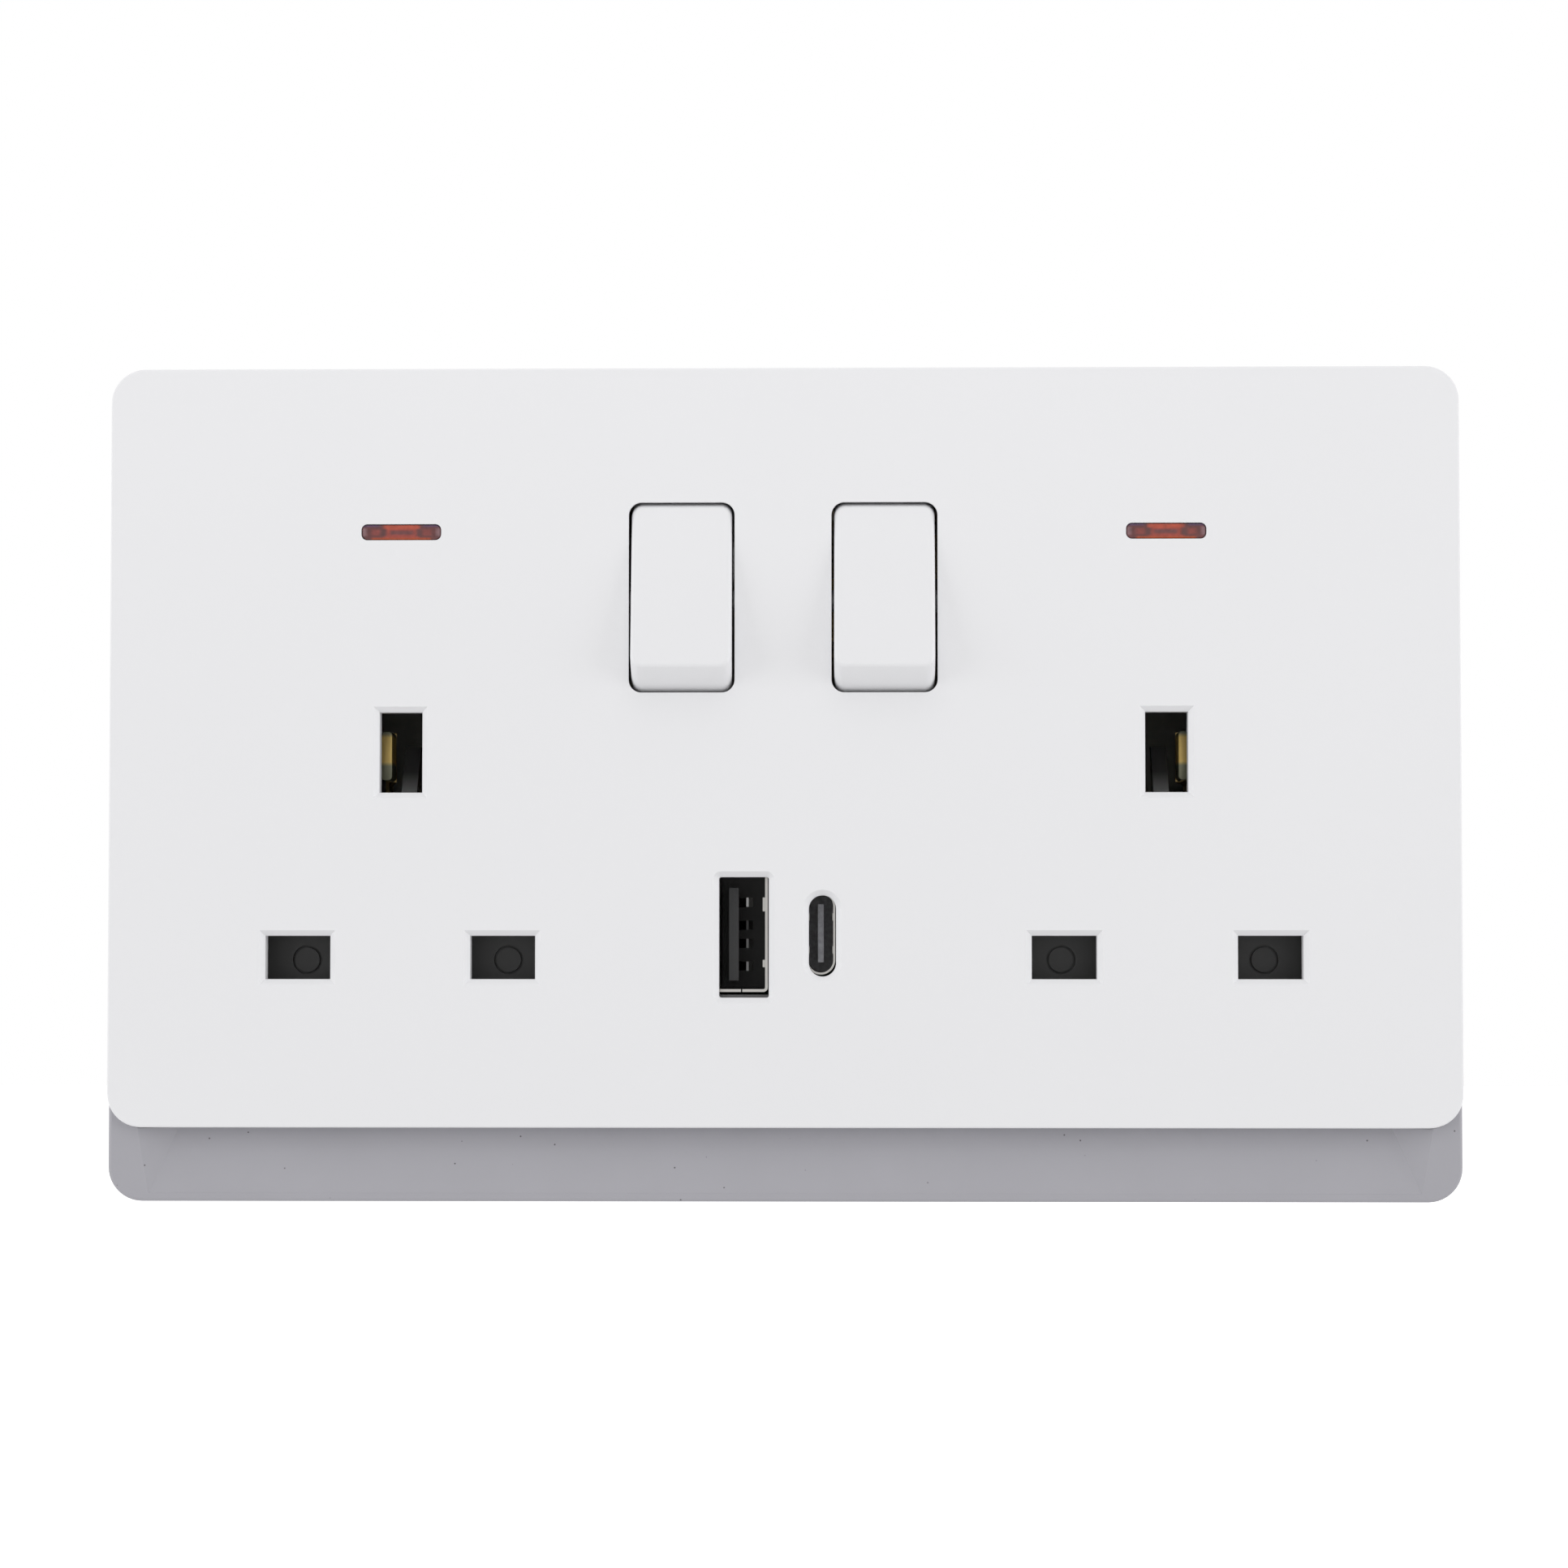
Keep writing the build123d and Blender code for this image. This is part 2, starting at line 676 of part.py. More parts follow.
rear_housing.part.label = "rear_housing"
export_step(rear_housing.part, "parts/rear_housing.step")

# Rockers: each a sector about its pivot, with trunnions and a hollow stem for the plunger
for side, hand in sides:
    with BuildPart() as rocker:
        with BuildSketch(rocker_plane(side)):
            Circle(rocker_arc)
            with Locations(((rocker_back - rocker_face) / 2, 0)):
                Rectangle(rocker_back + rocker_face, 2 * rocker_arc, mode=Mode.INTERSECT)
        extrude(amount=rocker_width / 2, both=True)
        fillet(rocker.edges().filter_by(GeomType.CIRCLE), rocker_corner)
        fillet(rocker.faces().sort_by(Axis.Y)[0].edges(), rocker_edge)
        with BuildSketch(rocker_plane(side)):
            Circle(trunnion_radius)
        extrude(amount=rocker_width / 2 + trunnion_length, both=True)
        with BuildSketch(stem_plane(side)):
            Circle(stem_radius)
        extrude(amount=stem_length)
        with BuildSketch(stem_plane(side).offset(stem_bore_floor)):
            Circle(plunger_radius + bore_gap)
        extrude(amount=stem_length - stem_bore_floor, mode=Mode.SUBTRACT)
    rocker.part.label = f"rocker_{hand}"
    export_step(rocker.part, f"parts/rocker_{hand}.step")

# Plungers with round noses, and the springs behind them in the rockers' stems
for side, hand in sides:
    with BuildPart() as plunger:
        with BuildSketch(stem_plane(side).offset(plunger_start)):
            Circle(plunger_radius)
        extrude(amount=plunger_reach - plunger_radius - plunger_start)
        with Locations(stem_plane(side).offset(plunger_reach - plunger_radius)):
            Sphere(plunger_radius)
    plunger.part.label = f"plunger_{hand}"
    export_step(plunger.part, f"parts/plunger_{hand}.step")

    length = plunger_start - stem_bore_floor - spring_wire
    with BuildPart() as plunger_spring:
        seat = stem_plane(side).offset(stem_bore_floor + spring_wire / 2)
        with BuildLine():
            coil = Helix(
                length / plunger_spring_turns,
                length,
                plunger_spring_radius,
                center=seat.origin,
                direction=seat.z_dir,
            )
        with BuildSketch(Plane(coil @ 0, z_dir=coil % 0)):
            Rectangle(spring_wire, spring_wire)
        sweep(path=coil, is_frenet=True)
    plunger_spring.part.label = f"plunger_spring_{hand}"
    export_step(plunger_spring.part, f"parts/plunger_spring_{hand}.step")

# Shutters: a bar across the line and neutral slots with an arm up to the earth pin's ramp
for side, hand in sides:
    with BuildPart() as shutter:
        with BuildSketch(front(shutter_back)):
            with Locations((side * socket_x, pin_z)):
                Rectangle(2 * shutter_half_length, 2 * shutter_half_tall)
        extrude(amount=shutter_thick)
        with BuildSketch(front(shutter_front)):
            with Locations((side * socket_x, pin_z - shutter_disc_drop)):
                with GridLocations(pin_pitch, 0, 2, 1):
                    Circle(shutter_disc_radius)
                    Circle(shutter_disc_radius - shutter_disc_groove[0], mode=Mode.SUBTRACT)
        extrude(amount=-shutter_disc_groove[1], mode=Mode.SUBTRACT)
        with BuildSketch(Plane.YZ.offset(side * socket_x)):
            with BuildLine():
                Polyline(
                    (-shutter_front, pin_z),
                    (-shutter_front, shutter_ramp_low),
                    (-shutter_ramp_deep, shutter_ramp_high),
                    (shutter_ramp_wall - shutter_ramp_deep, shutter_ramp_high),
                    (-shutter_back, shutter_ramp_low),
                    (-shutter_back, pin_z),
                    close=True,
                )
            make_face()
        extrude(amount=shutter_arm_width / 2, both=True)
        boss_x = around(side * socket_x, spring_boss_width / 2)
        block(boss_x, (shutter_back - spring_boss_deep, shutter_back), around(pin_z, shutter_half_tall))
        with BuildSketch(Plane.XY.offset(pin_z - shutter_half_tall)):
            with Locations((side * socket_x, -spring_axis_height)):
                Circle(spring_hole_radius)
        extrude(amount=spring_hole_depth, mode=Mode.SUBTRACT)
    shutter.part.label = f"shutter_{hand}"
    export_step(shutter.part, f"parts/shutter_{hand}.step")

    length = spring_top_z - spring_seat_z - spring_wire
    with BuildPart() as shutter_spring:
        with BuildLine(Plane((side * socket_x, -spring_axis_height, spring_seat_z + spring_wire / 2))):
            coil = Helix(length / spring_turns, length, spring_radius)
        with BuildSketch(Plane(coil @ 0, z_dir=coil % 0)):
            Rectangle(spring_wire, spring_wire)
        sweep(path=coil, is_frenet=True)
    shutter_spring.part.label = f"shutter_spring_{hand}"
    export_step(shutter_spring.part, f"parts/shutter_spring_{hand}.step")

# Neon strips: a red lens held behind the plate by its flange, and a lamp lying in the deck
for side, hand in sides:
    with BuildPart() as neon_lens:
        flange_top = plate_inner - lens_gap
        with BuildSketch(front(flange_top)):
            with Locations((side * socket_x, neon_z)):
                RectangleRounded(neon_width, neon_tall, neon_corner)
        extrude(amount=front_height - neon_sunk - flange_top)
        fillet(neon_lens.faces().sort_by(Axis.Y)[0].edges(), lens_edge)
        with BuildSketch(front(flange_top - lens_flange_thick)):
            with Locations((side * socket_x, neon_z)):
                Rectangle(neon_width + 2 * lens_flange, neon_tall + 2 * lens_flange)
        extrude(amount=lens_flange_thick)
    neon_lens.part.label = f"neon_lens_{hand}"
    export_step(neon_lens.part, f"parts/neon_lens_{hand}.step")

    with BuildPart() as neon_lamp:
        with Locations((side * socket_x, -lamp_height, neon_z)):
            Cylinder(lamp_radius, lamp_length, rotation=(0, 90, 0))
        fillet(neon_lamp.edges().filter_by(GeomType.CIRCLE), lamp_round)
    neon_lamp.part.label = f"neon_lamp_{hand}"
    export_step(neon_lamp.part, f"parts/neon_lamp_{hand}.step")

# Charging port A: a folded shell, an insulator with its tongue, and four contacts on the tongue
usb_depth = usb_front - board_front
with BuildPart() as usb_a_shell:
    with BuildSketch(front(board_front)):
        with Locations(usb_a_centre):
            RectangleRounded(*usb_a_shell_size, usb_a_shell_corner)
            offset(amount=-usb_a_shell_wall, mode=Mode.SUBTRACT)
    extrude(amount=usb_depth)
    with BuildSketch(front(board_front)):
        with Locations((usb_a_centre[0], usb_a_centre[1] - usb_a_shell_size[1] / 2)):
            Rectangle(usb_a_seam, 3 * usb_a_shell_wall)
    extrude(amount=usb_depth, mode=Mode.SUBTRACT)
    wall_x = usb_a_centre[0] + usb_a_shell_size[0] / 2 - usb_a_shell_wall
    tab_front = usb_front - usb_a_tab_sunk
    for offset_z, tall in usb_a_tabs:
        block(
            (wall_x - usb_a_tab_reach, wall_x + usb_a_shell_wall / 2),
            (tab_front - usb_a_tab_deep, tab_front),
            around(usb_a_centre[1] + offset_z, tall / 2),
        )
usb_a_shell.part.label = "usb_a_shell"
export_step(usb_a_shell.part, "parts/usb_a_shell.step")

tongue_a_x = usb_a_centre[0] + usb_a_tongue_shift[0]
tongue_a_z = usb_a_centre[1] + usb_a_tongue_shift[1]
with BuildPart() as usb_a_insulator:
    with BuildSketch(front(board_front)):
        with Locations(usb_a_centre):
            RectangleRounded(*usb_a_shell_size, usb_a_shell_corner)
            offset(amount=-usb_a_shell_wall - insulator_gap, mode=Mode.REPLACE)
    extrude(amount=insulator_base)
    with BuildSketch(front(board_front)):
        with Locations((tongue_a_x, tongue_a_z)):
            Rectangle(*usb_a_tongue)
    extrude(amount=usb_a_tongue_front - board_front)
    with BuildSketch(front(usb_a_tongue_front - usb_a_tongue_lip)):
        with Locations((tongue_a_x + usb_a_tongue[0] / 2, tongue_a_z)):
            Rectangle(2 * usb_a_tongue_recess, usb_a_tongue[1])
    floor_height = board_front + insulator_base
    extrude(amount=floor_height - usb_a_tongue_front + usb_a_tongue_lip, mode=Mode.SUBTRACT)
usb_a_insulator.part.label = "usb_a_insulator"
export_step(usb_a_insulator.part, "parts/usb_a_insulator.step")

with BuildPart() as usb_a_contacts:
    near = tongue_a_x + usb_a_tongue[0] / 2 - usb_a_tongue_recess
    crest = near + usb_a_contact_reach
    root = -board_front - insulator_base
    tip = usb_a_contact_setback - usb_a_tongue_front
    inner_side = [
        (crest - usb_a_contact_curl[0], tip),
        (crest, tip + usb_a_contact_curl[1]),
        (crest, tip + 2 * usb_a_contact_curl[1]),
        (near, root - usb_a_contact_bend),
        (near, root),
    ]
    outer_side = [(x + usb_a_contact_thick, y) for x, y in reversed(inner_side)]
    for offset_z in usb_a_contact_offsets:
        with BuildSketch(Plane.XY.offset(tongue_a_z + offset_z)):
            with BuildLine():
                Polyline(*inner_side, *outer_side, close=True)
            make_face()
        extrude(amount=usb_a_contact_width / 2, both=True)
usb_a_contacts.part.label = "usb_a_contacts"
export_step(usb_a_contacts.part, "parts/usb_a_contacts.step")

# Charging port C: a drawn stadium shell and an insulator with its tongue
with BuildPart() as usb_c_shell:
    with BuildSketch(front(board_front)):
        with Locations(usb_c_centre):
            SlotOverall(usb_c_shell_size[1], usb_c_shell_size[0], rotation=90)
            SlotOverall(
                usb_c_shell_size[1] - 2 * usb_c_shell_wall,
                usb_c_shell_size[0] - 2 * usb_c_shell_wall,
                rotation=90,
                mode=Mode.SUBTRACT,
            )
    extrude(amount=usb_depth)
    tab_front = usb_front - usb_c_tab_sunk
    for end in (-1, 1):
        wall_x = usb_c_centre[0] + end * (usb_c_shell_size[0] / 2 - usb_c_shell_wall)
        tab_x = sorted((wall_x - end * usb_c_tab[0], wall_x + end * usb_c_shell_wall / 2))
        for z in around(usb_c_centre[1], usb_c_tab_offset):
            block(tab_x, (tab_front - usb_c_tab[1], tab_front), around(z, usb_c_tab[2] / 2))
usb_c_shell.part.label = "usb_c_shell"
export_step(usb_c_shell.part, "parts/usb_c_shell.step")

with BuildPart() as usb_c_insulator:
    inset = 2 * (usb_c_shell_wall + insulator_gap)
    with BuildSketch(front(board_front)):
        with Locations(usb_c_centre):
            SlotOverall(usb_c_shell_size[1] - inset, usb_c_shell_size[0] - inset, rotation=90)
    extrude(amount=usb_depth - usb_c_floor_sunk)
    with BuildSketch(front(board_front)):
        with Locations(usb_c_centre):
            Rectangle(*usb_c_tongue)
    extrude(amount=usb_c_tongue_front - board_front)
usb_c_insulator.part.label = "usb_c_insulator"
export_step(usb_c_insulator.part, "parts/usb_c_insulator.step")

# Charger board with its transformer and capacitors
with BuildPart() as usb_board:
    with BuildSketch(front(board_back)):
        with Locations((0, board_z)):
            Rectangle(*board_size)
    extrude(amount=board_thick)
usb_board.part.label = "usb_board"
export_step(usb_board.part, "parts/usb_board.step")

with BuildPart() as transformer:
    with BuildSketch(front(board_back)):
        with Locations(transformer_place):
            Rectangle(*transformer_core)
    extrude(amount=-transformer_tall)
    with BuildSketch(Plane.YZ.offset(transformer_place[0])):
        with Locations((-board_back + transformer_tall / 2, transformer_place[1])):
            Rectangle(transformer_window, transformer_core[1] + 2 * bobbin_proud)
    extrude(amount=transformer_window / 2, both=True)
transformer.part.label = "transformer"
export_step(transformer.part, "parts/transformer.step")

with BuildPart() as capacitors:
    with BuildSketch(front(board_back)):
        with Locations((capacitor_x, transformer_place[1])):
            with GridLocations(0, 2 * capacitor_radius + capacitor_gap, 1, 2):
                Circle(capacitor_radius)
    extrude(amount=-capacitor_tall)
capacitors.part.label = "capacitors"
export_step(capacitors.part, "parts/capacitors.step")


def line_clip(x):
    """A pair of leaves above and below a line or neutral pin, joined by a web behind it."""
    for end in (-1, 1):
        leaf = sorted((pin_z + end * line_leaf_gap, pin_z + end * (line_leaf_gap + brass_thick)))
        block(around(x, line_leaf_width / 2), (line_bar_height, line_leaf_front), leaf)
    web = (line_bar_height - brass_thick, line_bar_height)
    block(around(x, line_leaf_width / 2), web, around(pin_z, line_leaf_gap + brass_thick))


def terminal(place, start):
    """A terminal block from a bar back to its screw, with a wire hole across it."""
    x, z = place
    block(around(x, terminal_size / 2), (terminal_back, start), around(z, terminal_size / 2))
    with Locations((x, -terminal_wire_height, z)):
        Cylinder(terminal_wire_radius, terminal_size, mode=Mode.SUBTRACT)
    with Locations((x, -(terminal_back + terminal_wire_height) / 2, z)):
        Cylinder(
            terminal_screw_radius + screw_gap,
            terminal_wire_height - terminal_back,
            rotation=(90, 0, 0),
            mode=Mode.SUBTRACT,
        )


# Earth leaf, drawn at the origin: it leans in to a throat, and its front edge is turned outwards
with BuildPart() as earth_leaf:
    with BuildSketch(Plane.XY.offset(-earth_leaf_tall / 2)):
        with Locations((earth_throat + earth_lip, -earth_throat_height)):
            inner = 2 * (earth_lip - earth_leaf_thick)
            RectangleRounded(2 * earth_lip, 2 * earth_lip, earth_lip_bend)
            Rectangle(inner, inner, mode=Mode.SUBTRACT)
            Rectangle(
                2 * earth_lip,
                earth_lip,
                align=(Align.CENTER, Align.MIN),
                mode=Mode.SUBTRACT,
            )
    extrude(amount=earth_leaf_tall)
    with BuildSketch(front(earth_leaf_front)):
        with Locations((earth_throat + earth_lip, 0)):
            RectangleRounded(2 * earth_lip, earth_leaf_tall, earth_lip_corner)
    extrude(amount=-earth_lip, mode=Mode.INTERSECT)
    with BuildSketch(Plane.XY.offset(-earth_leaf_tall / 2)):
        with BuildLine():
            Polyline(
                (earth_throat, -earth_throat_height),
                (earth_throat + earth_leaf_thick, -earth_throat_height),
                (earth_leaf_base + earth_leaf_thick, -earth_bar_height),
                (earth_leaf_base, -earth_bar_height),
                close=True,
            )
        make_face()
    extrude(amount=earth_leaf_tall)
    root_x = (earth_leaf_base, earth_leaf_base + earth_leaf_thick)
    block(root_x, (earth_bar_height - brass_thick, earth_bar_height + earth_web_deep), (earth_web[0], 0))

# Earth strap: one strip behind both outlets, with two leaves for each earth pin and two terminals
with BuildPart() as earth_strap:
    reach = socket_x - earth_leaf_base
    bar = (earth_bar_height - brass_thick, earth_bar_height)
    block((-reach, reach), bar, around(earth_z, earth_bar_tall / 2))
    web_z = (earth_z + earth_web[0], earth_z + earth_web[1])
    for side, _ in sides:
        with Locations((side * socket_x, 0, earth_z)):
            add(earth_leaf.part)
            add(mirror(earth_leaf.part, about=Plane.YZ, mode=Mode.PRIVATE))
        block(around(side * socket_x, earth_leaf_base), bar, web_z)
    for x in (-earth_terminal_x, earth_terminal_x):
        terminal((x, earth_z), bar[0])
earth_strap.part.label = "earth_strap"
export_step(earth_strap.part, "parts/earth_strap.step")

# Neutral bar: runs below both neutral pins, with a clip at each and one terminal
line_bar = (line_bar_height - brass_thick, line_bar_height)
with BuildPart() as neutral_bar:
    pins = [side * socket_x - pin_pitch / 2 for side, _ in sides]
    block((pins[0] - line_leaf_width / 2, pins[1] + line_leaf_width / 2), line_bar, neutral_z)
    for x in pins:
        line_clip(x)
        block(around(x, line_leaf_width / 2), line_bar, (neutral_z[0], pin_z))
    terminal((neutral_terminal_x, sum(neutral_z) / 2), line_bar[0])
neutral_bar.part.label = "neutral_bar"
export_step(neutral_bar.part, "parts/neutral_bar.step")

# Live contacts: from each live pin's clip up to the fixed contact of its switch
for side, hand in sides:
    with BuildPart() as live_contact:
        pin_x = side * socket_x + pin_pitch / 2
        strip_x = socket_x + live_right_strip_shift if side > 0 else pin_x
        line_clip(pin_x)
        strip = around(strip_x, live_strip_width / 2)
        block((min(strip[0], pin_x), max(strip[1], pin_x)), line_bar, around(pin_z, line_leaf_gap))
        block(strip, line_bar, (pin_z, live_strip_top))
        head = (live_strip_top - live_head_tall, live_strip_top)
        end = side * (rocker_x - live_head_tall / 2)
        block(sorted((strip_x, end)), line_bar, head)
        with BuildSketch(front(line_bar_height)):
            with Locations((side * rocker_x, post_z)):
                Circle(post_radius)
        extrude(amount=post_front - line_bar_height)
    live_contact.part.label = f"live_contact_{hand}"
    export_step(live_contact.part, f"parts/live_contact_{hand}.step")

# Live bar: feeds both switches, with a pair of ears for each rocking contact's pin and one terminal
with BuildPart() as live_bar:
    bar = (live_bar_height - brass_thick, live_bar_height)
    block(around(0, live_bar_width / 2), bar, around(rocker_z, live_bar_tall / 2))
    for side, _ in sides:
        for end in (-1, 1):
            near = side * rocker_x + end * (rocking_width / 2 + ear_inset)
            far = near + end * brass_thick
            ear = (live_bar_height, rocking_height + ear_front)
            block(sorted((near, far)), ear, around(rocker_z, ear_tall / 2))
        with Locations((side * rocker_x, -rocking_height, rocker_z)):
            Cylinder(
                rocking_pin_radius + running_gap,
                rocking_pin_length,
                rotation=(0, 90, 0),
                mode=Mode.SUBTRACT,
            )
    terminal((0, rocker_z), bar[0])
live_bar.part.label = "live_bar"
export_step(live_bar.part, "parts/live_bar.step")

# Rocking contacts: a strip on a cross pin, tipped away from its fixed contact while the switch is off
for side, hand in sides:
    with BuildPart() as moving_contact:
        tilt = radians(rocking_tilt)
        pivot = Plane(
            (side * rocker_x, -rocking_height, rocker_z),
            x_dir=(0, cos(tilt), sin(tilt)),
            z_dir=(1, 0, 0),
        )
        with BuildSketch(pivot):
            Rectangle(brass_thick, 2 * rocking_half_length)
            with Locations((brass_thick / 2, rocking_button_reach)):
                Rectangle(rocking_button_thick, rocking_button_tall, align=(Align.MIN, Align.CENTER))
        extrude(amount=rocking_width / 2, both=True)
        with BuildSketch(pivot):
            Circle(rocking_pin_radius)
        extrude(amount=rocking_pin_length / 2, both=True)
    moving_contact.part.label = f"moving_contact_{hand}"
    export_step(moving_contact.part, f"parts/moving_contact_{hand}.step")

# Screws: terminal screws, countersunk deck screws and long housing screws
with BuildPart() as terminal_screws:
    for place in terminals:
        with BuildSketch(front(terminal_screw_tip)):
            with Locations(place):
                Circle(terminal_screw_radius)
        extrude(amount=terminal_back - terminal_screw_tip)
        with BuildSketch(front(terminal_back)):
            with Locations(place):
                Circle(terminal_head_radius)
        extrude(amount=-terminal_head_thick)
        with BuildSketch(front(terminal_back - terminal_head_thick)):
            with Locations(place):
                Rectangle(2 * terminal_head_radius, driver_slot)
        extrude(amount=driver_depth, mode=Mode.SUBTRACT)
terminal_screws.part.label = "terminal_screws"
export_step(terminal_screws.part, "parts/terminal_screws.step")

with BuildPart() as deck_screws:
    with BuildSketch(front(flange_front)):
        with GridLocations(2 * deck_screw_x, 2 * deck_screw_z, 2, 2):
            Circle(deck_screw_head)
    extrude(amount=deck_screw_radius - deck_screw_head, taper=45)
    with BuildSketch(front(flange_front)):
        with GridLocations(2 * deck_screw_x, 2 * deck_screw_z, 2, 2):
            Circle(deck_screw_radius)
    extrude(amount=-flange_front)
    with BuildSketch(front(flange_front)):
        with GridLocations(2 * deck_screw_x, 2 * deck_screw_z, 2, 2):
            Rectangle(deck_screw_head, driver_slot)
            Rectangle(driver_slot, deck_screw_head)
    extrude(amount=-driver_depth, mode=Mode.SUBTRACT)
deck_screws.part.label = "deck_screws"
export_step(deck_screws.part, "parts/deck_screws.step")

with BuildPart() as housing_screws:
    with BuildSketch(front(-tub_depth)):
        with GridLocations(2 * housing_screw_x, 2 * housing_screw_z, 2, 2):
            Circle(housing_screw_head)
    extrude(amount=housing_head_thick)
    with BuildSketch(front(-tub_depth)):
        with GridLocations(2 * housing_screw_x, 2 * housing_screw_z, 2, 2):
            Circle(housing_screw_radius)
    extrude(amount=tub_depth + base_thickness)
    with BuildSketch(front(-tub_depth)):
        with GridLocations(2 * housing_screw_x, 2 * housing_screw_z, 2, 2):
            Rectangle(housing_screw_head, driver_slot)
            Rectangle(driver_slot, housing_screw_head)
    extrude(amount=driver_depth, mode=Mode.SUBTRACT)
housing_screws.part.label = "housing_screws"
export_step(housing_screws.part, "parts/housing_screws.step")
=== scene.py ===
import math

import bmesh
import bpy
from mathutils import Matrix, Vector


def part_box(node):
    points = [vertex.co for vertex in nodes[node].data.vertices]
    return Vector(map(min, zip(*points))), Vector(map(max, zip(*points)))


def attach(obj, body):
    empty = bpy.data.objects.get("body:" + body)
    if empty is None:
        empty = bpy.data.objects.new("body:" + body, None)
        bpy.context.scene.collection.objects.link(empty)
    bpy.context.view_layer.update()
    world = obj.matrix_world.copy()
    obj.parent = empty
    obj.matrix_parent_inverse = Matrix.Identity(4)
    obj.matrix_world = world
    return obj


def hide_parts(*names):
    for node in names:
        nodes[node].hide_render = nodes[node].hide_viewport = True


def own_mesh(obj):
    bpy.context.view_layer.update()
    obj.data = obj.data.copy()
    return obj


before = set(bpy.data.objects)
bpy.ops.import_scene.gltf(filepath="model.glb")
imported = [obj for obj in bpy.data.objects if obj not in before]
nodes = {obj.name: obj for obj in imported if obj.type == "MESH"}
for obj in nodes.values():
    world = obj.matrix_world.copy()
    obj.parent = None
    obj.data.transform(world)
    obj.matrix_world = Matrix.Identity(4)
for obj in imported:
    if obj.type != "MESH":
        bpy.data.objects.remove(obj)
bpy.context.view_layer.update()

# Front plate
# The clip-on cover is one white moulding with a fine satin finish.
# It hides every screw, and its chamfered slots guide the plug pins.
cloud_detail = 3
gloss_drift = 0.1
grain_scale = 2600
grain_depth = 0.00004


def moulded(name, colour, roughness, drift, patch, grain=0.0, stretch=(1, 1, 1)):
    """A plastic whose colour and gloss drift in soft patches, with a fine grain in its skin."""
    finish = bpy.data.materials.new(name)
    finish.use_nodes = True
    tree = finish.node_tree
    shader = tree.nodes["Principled BSDF"]
    place = tree.nodes.new("ShaderNodeTexCoord")
    stretched = tree.nodes.new("ShaderNodeMapping")
    stretched.inputs["Scale"].default_value = stretch
    cloud = tree.nodes.new("ShaderNodeTexNoise")
    cloud.inputs["Scale"].default_value = patch
    cloud.inputs["Detail"].default_value = cloud_detail
    tint = tree.nodes.new("ShaderNodeValToRGB")
    tint.color_ramp.elements[0].color = (*[part * (1 - drift) for part in colour], 1)
    tint.color_ramp.elements[1].color = (*[part * (1 + drift) for part in colour], 1)
    gloss = tree.nodes.new("ShaderNodeMapRange")
    gloss.inputs["To Min"].default_value = roughness * (1 - gloss_drift)
    gloss.inputs["To Max"].default_value = roughness * (1 + gloss_drift)
    skin = tree.nodes.new("ShaderNodeTexNoise")
    skin.inputs["Scale"].default_value = grain_scale
    bump = tree.nodes.new("ShaderNodeBump")
    bump.inputs["Strength"].default_value = grain
    bump.inputs["Distance"].default_value = grain_depth
    tree.links.new(place.outputs["Object"], stretched.inputs["Vector"])
    tree.links.new(stretched.outputs["Vector"], cloud.inputs["Vector"])
    tree.links.new(cloud.outputs["Fac"], tint.inputs["Fac"])
    tree.links.new(cloud.outputs["Fac"], gloss.inputs["Value"])
    tree.links.new(tint.outputs["Color"], shader.inputs["Base Color"])
    tree.links.new(gloss.outputs["Result"], shader.inputs["Roughness"])
    tree.links.new(place.outputs["Object"], skin.inputs["Vector"])
    tree.links.new(skin.outputs["Fac"], bump.inputs["Height"])
    tree.links.new(bump.outputs["Normal"], shader.inputs["Normal"])
    return finish


def wear(finish, *names):
    """Gives CAD nodes a finish."""
    for name in names:
        nodes[name].data.materials.clear()
        nodes[name].data.materials.append(finish)


satin_white = moulded("satin_white", (0.79, 0.79, 0.805), roughness=0.42, drift=0.01, patch=25, grain=0.1)
wear(satin_white, "front_plate")

# Rockers
# Each switch key is a smooth white moulding, a little glossier than the plate.
# It turns on two trunnions and carries a sprung plunger of natural nylon.
key_white = moulded("key_white", (0.77, 0.77, 0.785), roughness=0.38, drift=0.01, patch=60, grain=0.03)
wear(key_white, "rocker_left", "rocker_right")
nylon = moulded("natural_nylon", (0.72, 0.69, 0.6), roughness=0.4, drift=0.05, patch=200, grain=0.05)
wear(nylon, "plunger_left", "plunger_right")

# Mounting frame
# The grey frame is a matt moulding screwed to the wall box.
# Its lip below the plate has a long scoop for a finger, and a few dark flecks in its skin.


def own_place(tree):
    """The place of each point in its piece's own frame."""
    return tree.nodes.new("ShaderNodeTexCoord").outputs["Object"]


def lay_over(finish, colour, factor):
    """Lays a colour over a finish, as far as a factor from 0 to 1 says."""
    tree = finish.node_tree
    base = tree.nodes["Principled BSDF"].inputs["Base Color"]
    layer = tree.nodes.new("ShaderNodeMixRGB")
    layer.inputs["Color2"].default_value = (*colour, 1)
    tree.links.new(factor, layer.inputs["Fac"])
    tree.links.new(base.links[0].from_socket, layer.inputs["Color1"])
    tree.links.new(layer.outputs["Color"], base)


def share(tree, value, start, end):
    """How far a value has come from a start to an end, held between 0 and 1."""
    way = tree.nodes.new("ShaderNodeMapRange")
    way.inputs["From Min"].default_value = start
    way.inputs["From Max"].default_value = end
    tree.links.new(value, way.inputs["Value"])
    return way.outputs["Result"]


fleck_apart = 0.0022
fleck_radius = 0.00012
fleck_core = 0.00006
fleck_dark = (0.09, 0.085, 0.09)

